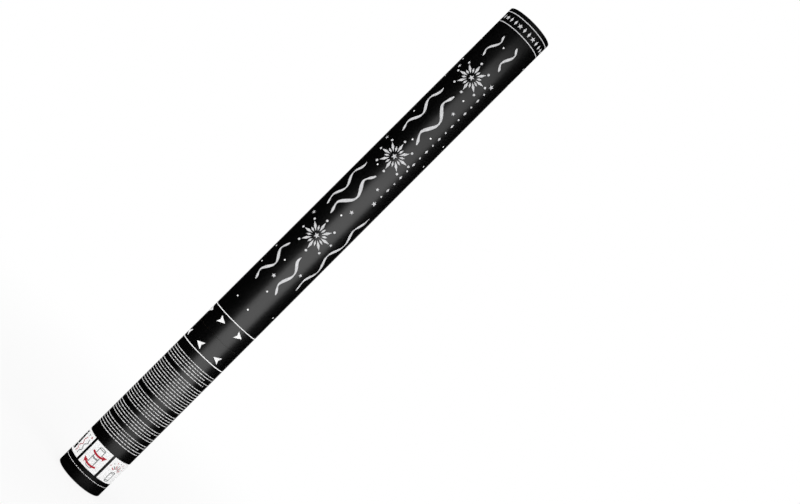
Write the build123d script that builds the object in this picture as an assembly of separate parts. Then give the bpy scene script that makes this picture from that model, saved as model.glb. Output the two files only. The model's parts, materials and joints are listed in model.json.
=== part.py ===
from build123d import *

import math
import os

# Twist-release confetti cannon: two board tubes that turn against each other, a gas cylinder with a
# cam-lifted stopper in the lower one (the handle) and rolled foil streamers in the upper one (the barrel).
# Millimetres, +Z up. The axis is Z, the base stands on Z = 0 and the muzzle points up.

# Whole object
overall_length = 600.0
outer_diameter = 50.0
twist_line_height = 184.5

# Clearances
glue_gap = 0.05
run_clearance = 0.3
parting_gap = 0.4

# Board tubes and their printed wraps
board_thickness = 2.2
wrap_thickness = 0.15
rim_rounding = 0.7

# Base plug, pushed into the handle tube flush with its end
plug_height = 7.0
plug_floor = 2.4
plug_wall = 1.6
plug_foot_width = 5.0
plug_recess = 0.8

# Cradle that centres the foot of the gas cylinder
cradle_width = 4.6
cradle_height = 20.0
cradle_floor = 3.0
cradle_skin = 1.3
cradle_rib_count = 8
cradle_rib_thickness = 1.4
cradle_hole_diameter = 16.0

# Gas cylinder
cylinder_wall = 1.0
cylinder_corner = 4.0
cylinder_shoulder = 9.0
dish_depth = 4.0
neck_height = 7.0
neck_wall = 1.2
bead_height = 3.0

# Rubber fill plug in the dished foot of the cylinder
fill_stem_diameter = 6.0
fill_head_diameter = 10.0
fill_head_height = 2.2
fill_barb_diameter = 7.4
fill_barb_height = 1.2
fill_tail_length = 3.0

# Valve body crimped into the neck of the cylinder; its crown is a share of the cam ring it stands in
crown_share = 0.56
valve_bore_share = 0.7
gas_passage_diameter = 8.0
hex_length = 9.5
valve_flange_thickness = 3.0
valve_insert_depth = 9.0
valve_crown_rim = 2.5
washer_thickness = 1.0
crimp_wall = 0.8
crimp_bite = 1.3

# Guide bush that holds the valve end of the cylinder in the handle tube
bush_skirt = 11.0

# Stopper, its two seals and the cross pin that follows the cam; the pin is a share of the crown
stopper_clearance = 0.1
stopper_head = 4.0
stopper_tail = 2.0
seal_section = 1.8
seal_depth = 2.5
seal_pitch = 3.2
seal_groove_play = 0.2
pin_share = 0.2
pin_rise = 12.0
pin_end_gap = 2.5
pin_chamfer = 0.5

# Release: this much twist lifts the stopper by this much
release_twist = 90.0
release_lift = 8.0
cam_web = 5.0

# Swivel: a flanged sleeve glued into the barrel, trapped under a collar glued into the handle
sleeve_depth = 26.0
sleeve_rise = 29.0
sleeve_flange_height = 5.0
sleeve_wall = 2.0
sleeve_ledge_width = 4.0
sleeve_ledge_height = 3.0
sleeve_mouth_wall = 2.2
collar_wall = 1.85

# Vent plate over the valve; its holes are a share of the opening in the ledge below it
vent_thickness = 2.4
vent_hole_count = 6
vent_hole_share = 0.25
vent_circle_share = 0.6

# Charge: a pusher wad and layers of three foil rolls
wad_height = 8.0
wad_floor = 2.0
wad_wall = 1.5
roll_width = 19.8
roll_gap = 0.2
roll_core_diameter = 4.0
rolls_per_layer = 3

# Card lid closing the muzzle
lid_recess = 2.5
lid_height = 9.0
lid_thickness = 1.2

# Radii from the outside in
outer_radius = outer_diameter / 2
board_radius = outer_radius - wrap_thickness - glue_gap
bore_radius = board_radius - board_thickness
seat_radius = bore_radius - glue_gap
slide_radius = bore_radius - run_clearance
collar_bore_radius = seat_radius - collar_wall
sleeve_radius = collar_bore_radius - run_clearance
sleeve_bore_radius = sleeve_radius - sleeve_wall
ledge_bore_radius = sleeve_bore_radius - sleeve_ledge_width
cam_radius = sleeve_bore_radius - glue_gap
cylinder_radius = seat_radius - cradle_width

# Radii from the axis out
crown_radius = cam_radius * crown_share
valve_bore_radius = crown_radius * valve_bore_share
pin_radius = crown_radius * pin_share
hex_across_flats = 2 * crown_radius
hex_corner_radius = hex_across_flats / math.sqrt(3)
neck_radius = hex_corner_radius + run_clearance
flange_radius = neck_radius + crimp_bite
neck_bore_radius = neck_radius - neck_wall
crimp_inner_radius = flange_radius + glue_gap
crimp_radius = crimp_inner_radius + crimp_wall
cam_bore_radius = crown_radius + run_clearance
pin_reach = sleeve_bore_radius - pin_end_gap
stopper_radius = valve_bore_radius - stopper_clearance

# Heights at the joint between the halves
handle_top = twist_line_height - parting_gap / 2
barrel_bottom = twist_line_height + parting_gap / 2
sleeve_bottom = twist_line_height - sleeve_depth
sleeve_top = twist_line_height + sleeve_rise
sleeve_flange_top = sleeve_bottom + sleeve_flange_height
sleeve_step = barrel_bottom + run_clearance
bush_top = sleeve_bottom - run_clearance

# Heights down the valve to the neck of the gas cylinder
hex_floor = bush_top - hex_length
crimp_top = hex_floor - run_clearance
flange_top = crimp_top - crimp_wall - glue_gap
flange_bottom = flange_top - valve_flange_thickness
washer_bottom = flange_bottom - glue_gap - washer_thickness
neck_top = washer_bottom - glue_gap
bead_bottom = neck_top - bead_height
crimp_bottom = bead_bottom - glue_gap - crimp_wall
shoulder_height = neck_top - neck_height
cradle_bottom = plug_height + glue_gap
cylinder_bottom = cradle_bottom + cradle_floor + glue_gap

# Heights of the stopper, its pin and the cam
slot_floor = sleeve_bottom
pin_height = slot_floor + pin_rise
slot_top = pin_height + release_lift + pin_radius + run_clearance
crown_top = slot_top + valve_crown_rim
upper_seal_height = slot_floor - seal_depth
lower_seal_height = upper_seal_height - seal_pitch
stopper_bottom = lower_seal_height - seal_section / 2 - stopper_tail
stopper_top = pin_height + pin_radius + stopper_head
lift_per_degree = release_lift / release_twist
ramp_lead = math.degrees(math.asin((pin_radius + run_clearance) / cam_bore_radius))
ramp_slope = math.atan(math.degrees(lift_per_degree) / cam_bore_radius)
ramp_over_pin = pin_height + (pin_radius + run_clearance) / math.cos(ramp_slope)
ramp_start = ramp_over_pin - lift_per_degree * ramp_lead
ramp_rise = lift_per_degree * (release_twist + 2 * ramp_lead)
cam_bottom = pin_height - pin_radius
cam_top = ramp_start + ramp_rise + cam_web
ledge_bottom = cam_top + glue_gap
ledge_top = ledge_bottom + sleeve_ledge_height
vent_bottom = ledge_top + glue_gap
vent_top = vent_bottom + vent_thickness

# Heights and counts of the charge
wad_bottom = sleeve_top + run_clearance
wad_top = wad_bottom + wad_height
lid_top = overall_length - lid_recess
lid_bottom = lid_top - lid_height
roll_pitch = roll_width + roll_gap
layer_count = int((lid_bottom - wad_top - roll_gap) / roll_pitch)
roll_spread = 2 * math.sin(math.pi / rolls_per_layer)
roll_radius = (slide_radius - roll_gap / roll_spread) / (1 + 2 / roll_spread)
roll_circle_radius = slide_radius - roll_radius

upright = (Align.CENTER, Align.CENTER, Align.MIN)


def rod(radius, bottom, top):
    """Plain cylinder on the axis."""
    return Pos(0, 0, bottom) * Cylinder(radius, top - bottom, align=upright)


def ring(inner, outer, bottom, top):
    """Plain tube on the axis."""
    return rod(outer, bottom, top) - rod(inner, bottom, top)


def rounded_rod(radius, bottom, top, bottom_rounding=0.0, top_rounding=0.0):
    """Cylinder on the axis with rounded end edges."""
    body = rod(radius, bottom, top)
    if bottom_rounding:
        edge = body.edges().filter_by(GeomType.CIRCLE).sort_by(Axis.Z)[0]
        body = fillet(edge, bottom_rounding)
    if top_rounding:
        edge = body.edges().filter_by(GeomType.CIRCLE).sort_by(Axis.Z)[-1]
        body = fillet(edge, top_rounding)
    return body


def hexagon(across_flats, bottom, top):
    """Hexagonal bar on the axis."""
    outline = RegularPolygon(across_flats / 2, 6, major_radius=False)
    return Pos(0, 0, bottom) * extrude(outline, top - bottom)


def around(piece, count):
    """Equal copies of a piece, spread evenly round the axis."""
    return [Rot(0, 0, 360 * index / count) * piece for index in range(count)]


# Board tubes and wraps

# The film turns over the rounded rim, so the board ends one film thickness short of the end plane.
turned_film = wrap_thickness + glue_gap


def handle_tube():
    return rounded_rod(board_radius, turned_film, handle_top, bottom_rounding=rim_rounding) - rod(
        bore_radius, 0, overall_length
    )


def handle_wrap():
    outside = rounded_rod(outer_radius, 0, handle_top, bottom_rounding=rim_rounding + turned_film)
    inside = rounded_rod(
        outer_radius - wrap_thickness,
        wrap_thickness,
        handle_top,
        bottom_rounding=rim_rounding + glue_gap,
    )
    return outside - inside - rod(bore_radius + glue_gap, 0, overall_length)


def barrel_tube():
    top = overall_length - turned_film
    return rounded_rod(board_radius, barrel_bottom, top, top_rounding=rim_rounding) - rod(
        bore_radius, 0, overall_length
    )


def barrel_wrap():
    outside = rounded_rod(
        outer_radius, barrel_bottom, overall_length, top_rounding=rim_rounding + turned_film
    )
    inside = rounded_rod(
        outer_radius - wrap_thickness,
        barrel_bottom,
        overall_length - wrap_thickness,
        top_rounding=rim_rounding + glue_gap,
    )
    return outside - inside - rod(bore_radius + glue_gap, 0, overall_length)


# Lower half: base, cradle and gas cylinder


def base_plug():
    cup = rod(seat_radius, 0, plug_height) - rod(seat_radius - plug_wall, plug_floor, plug_height)
    return cup - rod(seat_radius - plug_foot_width, 0, plug_recess)


def cylinder_cradle():
    top = cradle_bottom + cradle_height
    floor_top = cradle_bottom + cradle_floor
    cup_radius = cylinder_radius + glue_gap
    pocket_inner = cup_radius + cradle_skin
    pocket_outer = seat_radius - cradle_skin
    body = rod(seat_radius, cradle_bottom, top) - rod(cup_radius, floor_top, top)
    body -= rod(cradle_hole_diameter / 2, cradle_bottom, floor_top)
    body -= ring(pocket_inner, pocket_outer, floor_top, top)
    width = pocket_outer - pocket_inner
    middle = (pocket_outer + pocket_inner) / 2
    # Each rib reaches half a skin into both walls, so that it joins them on the curve.
    bar = Box(width + cradle_skin, cradle_rib_thickness, top - floor_top, align=upright)
    for rib in around(Pos(middle, 0, floor_top) * bar, cradle_rib_count):
        body += rib
    return body


# The dished foot is a ball cut: its radius follows from the depth and the flat ring left round it.
dish_edge_radius = cylinder_radius - cylinder_corner
dish_radius = (dish_edge_radius**2 + dish_depth**2) / (2 * dish_depth)
dish_top = cylinder_bottom + dish_depth
dish_centre = Pos(0, 0, dish_top - dish_radius)


def gas_cylinder():
    outside = rounded_rod(
        cylinder_radius, cylinder_bottom, shoulder_height, cylinder_corner, cylinder_shoulder
    )
    outside += rod(neck_radius, shoulder_height - cylinder_shoulder, neck_top)
    outside += rod(flange_radius, bead_bottom, neck_top)
    outside -= dish_centre * Sphere(dish_radius)
    inside = rounded_rod(
        cylinder_radius - cylinder_wall,
        cylinder_bottom + cylinder_wall,
        shoulder_height - cylinder_wall,
        cylinder_corner - cylinder_wall,
        cylinder_shoulder - cylinder_wall,
    )
    inside -= dish_centre * Sphere(dish_radius + cylinder_wall)
    inside += rod(neck_bore_radius, shoulder_height - cylinder_shoulder, neck_top)
    fill_hole = rod(fill_stem_diameter / 2 + glue_gap, cylinder_bottom, dish_top + 2 * cylinder_wall)
    return outside - inside - fill_hole


def fill_plug():
    head_bottom = dish_top + cylinder_wall + glue_gap
    tail_bottom = dish_top - fill_tail_length
    body = rod(fill_head_diameter / 2, head_bottom, head_bottom + fill_head_height)
    body += rod(fill_stem_diameter / 2, tail_bottom, head_bottom)
    return body + rod(fill_barb_diameter / 2, tail_bottom, tail_bottom + fill_barb_height)


# Valve end of the gas cylinder


def valve_body():
    body = rod(neck_bore_radius - glue_gap, flange_bottom - valve_insert_depth, flange_bottom)
    body += rod(flange_radius, flange_bottom, flange_top)
    body += hexagon(hex_across_flats, flange_top, bush_top)
    body += rod(crown_radius, bush_top, crown_top)
    body -= rod(gas_passage_diameter / 2, flange_bottom - valve_insert_depth, stopper_bottom)
    body -= rod(valve_bore_radius, stopper_bottom - run_clearance, crown_top)
    slot_width = 2 * (pin_radius + run_clearance)
    slot = Box(2 * cam_bore_radius, slot_width, slot_top - slot_floor, align=upright)
    return body - Pos(0, 0, slot_floor) * slot


def neck_washer():
    return ring(neck_bore_radius, flange_radius, washer_bottom, washer_bottom + washer_thickness)


def crimp_ferrule():
    body = rod(crimp_radius, crimp_bottom, crimp_top)
    body -= rod(crimp_inner_radius, crimp_bottom + crimp_wall, crimp_top - crimp_wall)
    return body - rod(neck_radius + glue_gap, crimp_bottom, crimp_top)


def guide_bush():
    cavity_top = shoulder_height + run_clearance
    body = rod(seat_radius, shoulder_height - bush_skirt, bush_top)
    body -= rod(cylinder_radius + glue_gap, shoulder_height - bush_skirt, cavity_top)
    body -= rod(crimp_radius + run_clearance, cavity_top, hex_floor)
    return body - hexagon(hex_across_flats + 2 * glue_gap, hex_floor, bush_top)


def thrust_collar():
    return ring(
        collar_bore_radius, seat_radius, sleeve_flange_top + run_clearance, handle_top - run_clearance
    )


# Stopper and its follower pin

seal_outer_radius = valve_bore_radius - glue_gap
seal_circle_radius = seal_outer_radius - seal_section / 2
groove_radius = seal_outer_radius - seal_section - glue_gap
groove_height = seal_section + seal_groove_play


def stopper():
    body = rod(stopper_radius, stopper_bottom, stopper_top)
    for height in (lower_seal_height, upper_seal_height):
        groove_bottom = height - groove_height / 2
        body -= ring(groove_radius, valve_bore_radius, groove_bottom, groove_bottom + groove_height)
    pin_hole = Cylinder(pin_radius + glue_gap, 2 * valve_bore_radius, rotation=(0, 90, 0))
    return body - Pos(0, 0, pin_height) * pin_hole


def stopper_seals():
    seal = Torus(seal_circle_radius, seal_section / 2)
    return Pos(0, 0, lower_seal_height) * seal + Pos(0, 0, upper_seal_height) * seal


def cross_pin():
    pin = Cylinder(pin_radius, 2 * pin_reach)
    pin = chamfer(pin.edges().filter_by(GeomType.CIRCLE), pin_chamfer)
    return Pos(0, 0, pin_height) * Rot(0, 90, 0) * pin


# Upper half: swivel sleeve, cam and vent


def coupling_sleeve():
    body = rod(slide_radius, sleeve_bottom, sleeve_flange_top)
    body += rod(sleeve_radius, sleeve_flange_top, sleeve_step)
    body += rod(seat_radius, sleeve_step, sleeve_top)
    body -= rod(sleeve_bore_radius, sleeve_bottom, ledge_bottom)
    body -= rod(ledge_bore_radius, ledge_bottom, ledge_top)
    body -= rod(sleeve_bore_radius, ledge_top, vent_top)
    return body - rod(seat_radius - sleeve_mouth_wall, vent_top, sleeve_top)


def cam_ring():
    body = ring(cam_bore_radius, cam_radius, cam_bottom, cam_top)
    middle = (cam_bore_radius + cam_radius) / 2
    # The pocket's section is wider than the ring and deep enough to leave it open below.
    section = Plane.XZ * Rectangle(
        2 * (cam_radius - cam_bore_radius), 2 * ramp_rise, align=(Align.CENTER, Align.MAX)
    )
    path = Helix(360 * lift_per_degree, ramp_rise, middle, lefthand=True)
    pocket = sweep(Pos(middle, 0, 0) * section, path, is_frenet=True)
    pocket = Pos(0, 0, ramp_start) * Rot(0, 0, ramp_lead) * pocket
    for side in around(pocket, 2):
        body -= side
    return body


def vent_plate():
    radius = sleeve_bore_radius - glue_gap
    body = rod(radius, vent_bottom, vent_top)
    hole = rod(ledge_bore_radius * vent_hole_share, vent_bottom, vent_top)
    circle_radius = ledge_bore_radius * vent_circle_share
    for vent in around(Pos(circle_radius, 0, 0) * hole, vent_hole_count):
        body -= vent
    return body


# Charge and lid


def pusher_wad():
    cup = rod(slide_radius, wad_bottom, wad_top)
    return cup - rod(slide_radius - wad_wall, wad_bottom, wad_top - wad_floor)


def streamer_layer(index):
    """One layer of rolls, turned by half a roll against the layer below it."""
    bottom = wad_top + roll_gap + index * roll_pitch
    roll = ring(roll_core_diameter / 2, roll_radius, bottom, bottom + roll_width)
    half_turn = Rot(0, 0, index * 180 / rolls_per_layer)
    rolls = around(half_turn * Pos(roll_circle_radius, 0, 0) * roll, rolls_per_layer)
    return Compound([solid for shape in rolls for solid in shape.solids()])


def muzzle_lid():
    cup = rod(slide_radius, lid_bottom, lid_top)
    return cup - rod(slide_radius - lid_thickness, lid_bottom, lid_top - lid_thickness)


pieces = {
    "handle_tube": handle_tube(),
    "handle_wrap": handle_wrap(),
    "base_plug": base_plug(),
    "cylinder_cradle": cylinder_cradle(),
    "gas_cylinder": gas_cylinder(),
    "fill_plug": fill_plug(),
    "valve_body": valve_body(),
    "neck_washer": neck_washer(),
    "crimp_ferrule": crimp_ferrule(),
    "guide_bush": guide_bush(),
    "thrust_collar": thrust_collar(),
    "stopper": stopper(),
    "stopper_seals": stopper_seals(),
    "cross_pin": cross_pin(),
    "barrel_tube": barrel_tube(),
    "barrel_wrap": barrel_wrap(),
    "coupling_sleeve": coupling_sleeve(),
    "cam_ring": cam_ring(),
    "vent_plate": vent_plate(),
    "pusher_wad": pusher_wad(),
    "muzzle_lid": muzzle_lid(),
}
for layer in range(layer_count):
    pieces[f"streamer_layer_{layer + 1:02d}"] = streamer_layer(layer)

os.makedirs("parts", exist_ok=True)
for name, piece in pieces.items():
    export_step(piece, f"parts/{name}.step")

print("nodes", len(pieces), "streamer layers", layer_count, "roll diameter", round(2 * roll_radius, 2))
print("charge travel to clear the muzzle", round(overall_length - wad_bottom, 2))
print("stopper lift per radian of twist", round(release_lift / math.radians(release_twist), 5))
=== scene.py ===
# %% [markdown]
# # A twist confetti cannon, dressed for its portrait
# The real object is a slim board tube in a black printed film. Its upper part, the barrel, turns on its
# lower part, the handle. The solids come packed from CAD, in metres, with +Z from the base to the muzzle and
# the printed front towards -Y. This lesson adds the camera, the studio, the film, the print, the foil rolls
# and a finish for every solid that stays. Nothing of the frame is moved, so each new piece goes straight to
# the place that the CAD gives.

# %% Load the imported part
import json
import math
import random
from collections import namedtuple

import bmesh
import bpy
from mathutils import Matrix, Vector

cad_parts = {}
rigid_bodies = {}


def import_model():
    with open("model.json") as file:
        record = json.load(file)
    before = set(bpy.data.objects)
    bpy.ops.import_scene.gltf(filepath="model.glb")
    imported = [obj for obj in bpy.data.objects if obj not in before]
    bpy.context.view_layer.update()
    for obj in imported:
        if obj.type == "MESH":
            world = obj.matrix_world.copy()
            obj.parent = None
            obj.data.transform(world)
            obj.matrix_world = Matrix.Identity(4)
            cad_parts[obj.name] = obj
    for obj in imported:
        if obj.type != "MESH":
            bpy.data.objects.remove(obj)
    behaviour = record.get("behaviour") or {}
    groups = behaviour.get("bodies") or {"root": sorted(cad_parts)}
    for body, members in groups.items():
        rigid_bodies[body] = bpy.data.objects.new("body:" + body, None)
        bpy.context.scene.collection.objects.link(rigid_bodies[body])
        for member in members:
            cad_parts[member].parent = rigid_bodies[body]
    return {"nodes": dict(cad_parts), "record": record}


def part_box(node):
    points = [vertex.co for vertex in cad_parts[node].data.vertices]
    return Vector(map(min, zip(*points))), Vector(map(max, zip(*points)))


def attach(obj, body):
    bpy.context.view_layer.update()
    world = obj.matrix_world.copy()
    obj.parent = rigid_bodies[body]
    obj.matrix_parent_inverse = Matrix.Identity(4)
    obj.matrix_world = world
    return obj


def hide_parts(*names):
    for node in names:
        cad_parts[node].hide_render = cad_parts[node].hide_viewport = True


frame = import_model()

for spare in [o for o in bpy.data.objects if o.name in ("Cube", "Light", "Camera")]:
    bpy.data.objects.remove(spare)
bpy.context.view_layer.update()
nodes = frame["nodes"]
scene = bpy.context.scene
scene.view_settings.view_transform = "Standard"


# %% [markdown]
# ## The camera
# The photograph shows the tube leaning at 45 degrees, with straight sides of one width and both ends bulging
# outwards. The tube could be leaned over, but then it would no longer stand where the CAD has it. So the
# camera looks square at the tube's middle and is itself rolled by 45 degrees. Panning it a little to the
# right puts the tube left of the middle of the frame, with no lens shift.

# %% Camera
sensor_mm, lens_mm = 36.0, 60.04
camera_place = Vector((0.0, -1.26256, 0.30678))
roll, pan, tilt = (math.radians(a) for a in (44.969, 3.7774, -0.3074))


def add_object(name, data):
    """A new object for some data, put into the scene at the origin."""
    made = bpy.data.objects.new(name, data)
    scene.collection.objects.link(made)
    return made


def swung(one, other, angle):
    """Two square directions, both turned in their plane, so that the one moves towards the other."""
    sine, cosine = math.sin(angle), math.cos(angle)
    return one * cosine + other * sine, other * cosine - one * sine


right, up = swung(Vector((1, 0, 0)), Vector((0, 0, 1)), roll)
ahead, right = swung(Vector((0, 1, 0)), right, pan)
ahead, up = swung(ahead, up, tilt)
camera_data = bpy.data.cameras.new("portrait_camera")
camera_data.sensor_fit = "HORIZONTAL"
camera_data.sensor_width = sensor_mm
camera_data.lens = lens_mm
camera = add_object("portrait_camera", camera_data)
camera.matrix_world = Matrix.Translation(camera_place) @ Matrix((right, up, -ahead)).transposed().to_4x4()
scene.camera = camera
print("camera at", [round(v, 3) for v in camera_place], "with a lens of", lens_mm)

# %% [markdown]
# ## Helpers for node trees
# Shaders and Geometry Nodes are both trees of nodes. They can be wired by hand in the editor, but a script can
# be read and run again. One small helper adds a node, sets its options and fills its sockets: a plain value is
# typed in, and another node's socket is linked. The others are short names for nodes that come up often.

# %% Node helpers
def put(tree, kind, feed=None, **options):
    """Adds one node. feed maps a socket's name or number to a value or to another node's output."""
    made = tree.nodes.new(kind)
    for key, value in options.items():
        setattr(made, key, value)
    for key, value in (feed or {}).items():
        socket = made.inputs[key]
        if isinstance(value, bpy.types.NodeSocket):
            tree.links.new(value, socket)
        else:
            socket.default_value = value
    return made


def flow(tree, kind, feed=None, **options):
    """Adds one node and returns its first output."""
    return put(tree, kind, feed, **options).outputs[0]


def calc(tree, operation, *values):
    """One Math node, by its operation."""
    return flow(tree, "ShaderNodeMath", dict(enumerate(values)), operation=operation)


def ranged(tree, value, old, new, smooth=False):
    """Maps a value from an old range of (low, high) to a new one, and holds it there at both ends."""
    limits = {"From Min": old[0], "From Max": old[1], "To Min": new[0], "To Max": new[1]}
    curve = "SMOOTHSTEP" if smooth else "LINEAR"
    return flow(tree, "ShaderNodeMapRange", {"Value": value, **limits}, interpolation_type=curve)


def split(tree, place):
    """The three parts of a place."""
    return put(tree, "ShaderNodeSeparateXYZ", {0: place}).outputs


def joined(tree, x=0.0, y=0.0, z=0.0):
    """A place from three parts."""
    return flow(tree, "ShaderNodeCombineXYZ", {0: x, 1: y, 2: z})


print("node helpers ready")

# %% [markdown]
# ## The room
# The ground of the picture is pure white. A strong light on a pale wall would do it, but would also flood the
# tube. So the world is white to the eye and to mirrors, and much dimmer as a light: the Light Path node tells
# the two kinds of ray apart.

# %% World
room_light = 0.35


def empty_tree(owner):
    """Gives a world or a material an empty node tree."""
    owner.use_nodes = True
    owner.node_tree.nodes.clear()
    return owner.node_tree


def seen_mask(tree):
    """1 for a ray from the eye, a mirror or glass, and 0 for a ray that only carries light."""
    path = put(tree, "ShaderNodeLightPath").outputs
    mirrored = calc(tree, "MAXIMUM", path["Is Glossy Ray"], path["Is Transmission Ray"])
    return calc(tree, "MAXIMUM", path["Is Camera Ray"], mirrored)


world = bpy.data.worlds.new("white_room")
tree = empty_tree(world)
level = ranged(tree, seen_mask(tree), (0.0, 1.0), (room_light, 1.0))
sky = flow(tree, "ShaderNodeBackground", {"Color": (1, 1, 1, 1), "Strength": level})
put(tree, "ShaderNodeOutputWorld", {"Surface": sky})
scene.world = world
print("world: white to the eye, light level", room_light)

# %% [markdown]
# ## The floor
# A pale floor carries the tube. Near the base a share of its brightness is real light, so the shadow shows;
# further out it turns plain white, so that it runs into the white room with no horizon. A curved backdrop
# would hide the horizon too, but only from one side.

# %% Floor
floor_radius, floor_sides = 4.0, 96
shadow_share, shadow_reach, white_reach = 0.16, 0.12, 0.75


def object_place(tree):
    """The place on a piece, in metres in the shared frame."""
    return put(tree, "ShaderNodeTexCoord").outputs["Object"]


def circle_points(radius, height, sides):
    """Points evenly round the tube's axis, from the camera's side on."""
    bearings = [2 * math.pi * i / sides for i in range(sides)]
    return [(radius * math.sin(a), -radius * math.cos(a), height) for a in bearings]


paper = bpy.data.materials.new("white_floor")
tree = empty_tree(paper)
away = put(tree, "ShaderNodeVectorMath", {0: object_place(tree)}, operation="LENGTH").outputs["Value"]
fade = ranged(tree, away, (shadow_reach, white_reach), (1 - shadow_share, 1.0), smooth=True)
glow_share = calc(tree, "MULTIPLY", fade, seen_mask(tree))
lit = flow(tree, "ShaderNodeBsdfDiffuse", {"Color": (0.86, 0.86, 0.86, 1)})
glow = flow(tree, "ShaderNodeEmission", {"Color": (1, 1, 1, 1), "Strength": 1.0})
both = flow(tree, "ShaderNodeMixShader", {0: glow_share, 1: lit, 2: glow})
put(tree, "ShaderNodeOutputMaterial", {"Surface": both})

floor_mesh = bpy.data.meshes.new("floor")
floor_mesh.from_pydata(circle_points(floor_radius, 0.0, floor_sides), [], [list(range(floor_sides))])
floor_mesh.materials.append(paper)
floor = add_object("floor", floor_mesh)
print("floor radius", floor_radius)

# %% [markdown]
# ## Softboxes
# Four large softboxes light the print and the floor evenly. In a real studio they would also show as broad
# grey patches on the black film. Here they are hidden from reflections, so they light what is matt and leave
# the film black. A lamp is given by its radiance, which keeps its level when its size changes.

# %% Softboxes
def softbox(name, bearing, distance, height, wide, tall, radiance, drop=0.0):
    """A soft lamp that faces the tube. The bearing is in degrees from the camera's side towards +X."""
    turn = math.radians(bearing)
    lamp = bpy.data.lights.new(name, "AREA")
    lamp.shape = "RECTANGLE"
    lamp.size, lamp.size_y = wide, tall
    lamp.energy = radiance * math.pi * wide * tall
    spot = Vector((distance * math.sin(turn), -distance * math.cos(turn), height))
    aim = Vector((0, 0, height - drop)) - spot
    made = add_object(name, lamp)
    made.matrix_world = Matrix.Translation(spot) @ aim.to_track_quat("-Z", "Y").to_matrix().to_4x4()
    made.visible_camera = False
    return made


fill_lamps = (
    softbox("left_softbox", -60, 1.0, 0.3, 1.2, 1.0, 2.5),
    softbox("right_softbox", 60, 1.0, 0.3, 1.2, 1.0, 2.5),
    softbox("top_softbox", 180, 0.45, 1.55, 1.3, 1.3, 0.9, drop=1.3),
    softbox("back_softbox", 180, 1.0, 0.45, 1.5, 1.0, 1.0),
)
for lamp in fill_lamps:
    lamp.visible_glossy = False
print("softboxes", [lamp.name for lamp in fill_lamps])

# %% [markdown]
# ## Strip lamps
# On so dark a film one sees little but reflections, and the long soft highlight is the reflection of a strip
# lamp. Its width sets how broad the highlight is, and its length ends it near the rims. A shorter strip in
# front of it brightens the middle; it stands 3 mm nearer, because lamps in one plane hide each other from
# reflections. One strip serves the back, and three higher ones make the foil shine when it has left the
# muzzle. The strips show in reflections alone, so the print keeps its level.

# %% Strip lamps
highlight_bearing = 25.7
strip_mid, strip_tall = 0.2965, 0.599
upper_mid, upper_tall, upper_wide, upper_level = 0.925, 0.33, 0.1, 1.8
strip_lamps = [
    softbox("long_strip", highlight_bearing, 0.15, strip_mid, 0.2, strip_tall, 1.12),
    softbox("short_strip", highlight_bearing, 0.147, 0.264, 0.196, 0.35, 0.55),
    softbox("back_strip", 180, 0.2, strip_mid, 0.2, strip_tall, 0.8),
]
for name, bearing in (("upper_right_strip", 30), ("upper_left_strip", -75), ("upper_back_strip", 150)):
    strip_lamps.append(softbox(name, bearing, 0.2, upper_mid, upper_wide, upper_tall, upper_level))
for lamp in strip_lamps:
    lamp.visible_diffuse = False
print("strips", [lamp.name for lamp in strip_lamps])

# %% [markdown]
# ## The dark cloth
# Photographers hang black cloth round a black object, so that it reflects darkness and not the white room.
# This one lies on the floor, with a hole for the tube, and rises all round behind the lamps. Only reflections
# see it, so the ground stays white to the eye.

# %% Dark cloth
cloth_radius, cloth_top, cloth_hole, cloth_lift, cloth_sides = 1.15, 2.2, 0.02495, 0.0003, 72
black_felt = bpy.data.materials.new("black_felt")
tree = empty_tree(black_felt)
felt = flow(tree, "ShaderNodeBsdfDiffuse", {"Color": (0.003, 0.003, 0.003, 1)})
put(tree, "ShaderNodeOutputMaterial", {"Surface": felt})

edges = ((cloth_hole, cloth_lift), (cloth_radius, cloth_lift), (cloth_radius, cloth_top))
corners = [point for r, h in edges for point in circle_points(r, h, cloth_sides)]
squares = []
for inner in (0, cloth_sides):
    for i in range(cloth_sides):
        j, outer = (i + 1) % cloth_sides, inner + cloth_sides
        squares.append((inner + i, inner + j, outer + j, outer + i))
cloth = bpy.data.meshes.new("dark_cloth")
cloth.from_pydata(corners, [], squares)
cloth.materials.append(black_felt)
dark_cloth = add_object("dark_cloth", cloth)
dark_cloth.visible_camera = dark_cloth.visible_diffuse = False
dark_cloth.visible_shadow = dark_cloth.visible_transmission = False
print("cloth faces", len(squares))

# %% [markdown]
# ## Effects that several finishes share: grain
# Film, ink, board, plastic, metal and card all need a fine unevenness, at different sizes. It is built once as
# a shader group with named inputs, and each finish places it with its own values. A group gives out only
# masks and values; the shader itself stays in each material.

# %% Fine grain
def effect(name, inputs, output):
    """An empty shader group with named number inputs and one number output."""
    group = bpy.data.node_groups.new(name, "ShaderNodeTree")
    for label, value in inputs.items():
        socket = group.interface.new_socket(label, in_out="INPUT", socket_type="NodeSocketFloat")
        socket.default_value = value
    group.interface.new_socket(output, in_out="OUTPUT", socket_type="NodeSocketFloat")
    return group, put(group, "NodeGroupInput").outputs


grain, given = effect("fine_grain", {"Size mm": 1.0, "Stretch": 1.0, "Low": 0.0, "High": 1.0}, "Value")
finer = calc(grain, "DIVIDE", 1000.0, given["Size mm"])
spacing = joined(grain, finer, finer, calc(grain, "DIVIDE", finer, given["Stretch"]))
spread = flow(grain, "ShaderNodeVectorMath", {0: object_place(grain), 1: spacing}, operation="MULTIPLY")
noise = flow(grain, "ShaderNodeTexNoise", {"Vector": spread, "Scale": 1.0, "Detail": 3.0})
put(grain, "NodeGroupOutput", {"Value": ranged(grain, noise, (0.3, 0.7), (given["Low"], given["High"]))})
print("effect", grain.name, "with nodes", len(grain.nodes))

# %% [markdown]
# ## The winding line
# A board tube is wound from a strip, and the joint between two turns runs round it as a helix. It shows on the
# bare inside and, faintly, through the film. A helix is where the turn round the axis plus the rise per pitch
# comes to a whole number, so a few Math nodes draw it with no image.

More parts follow.
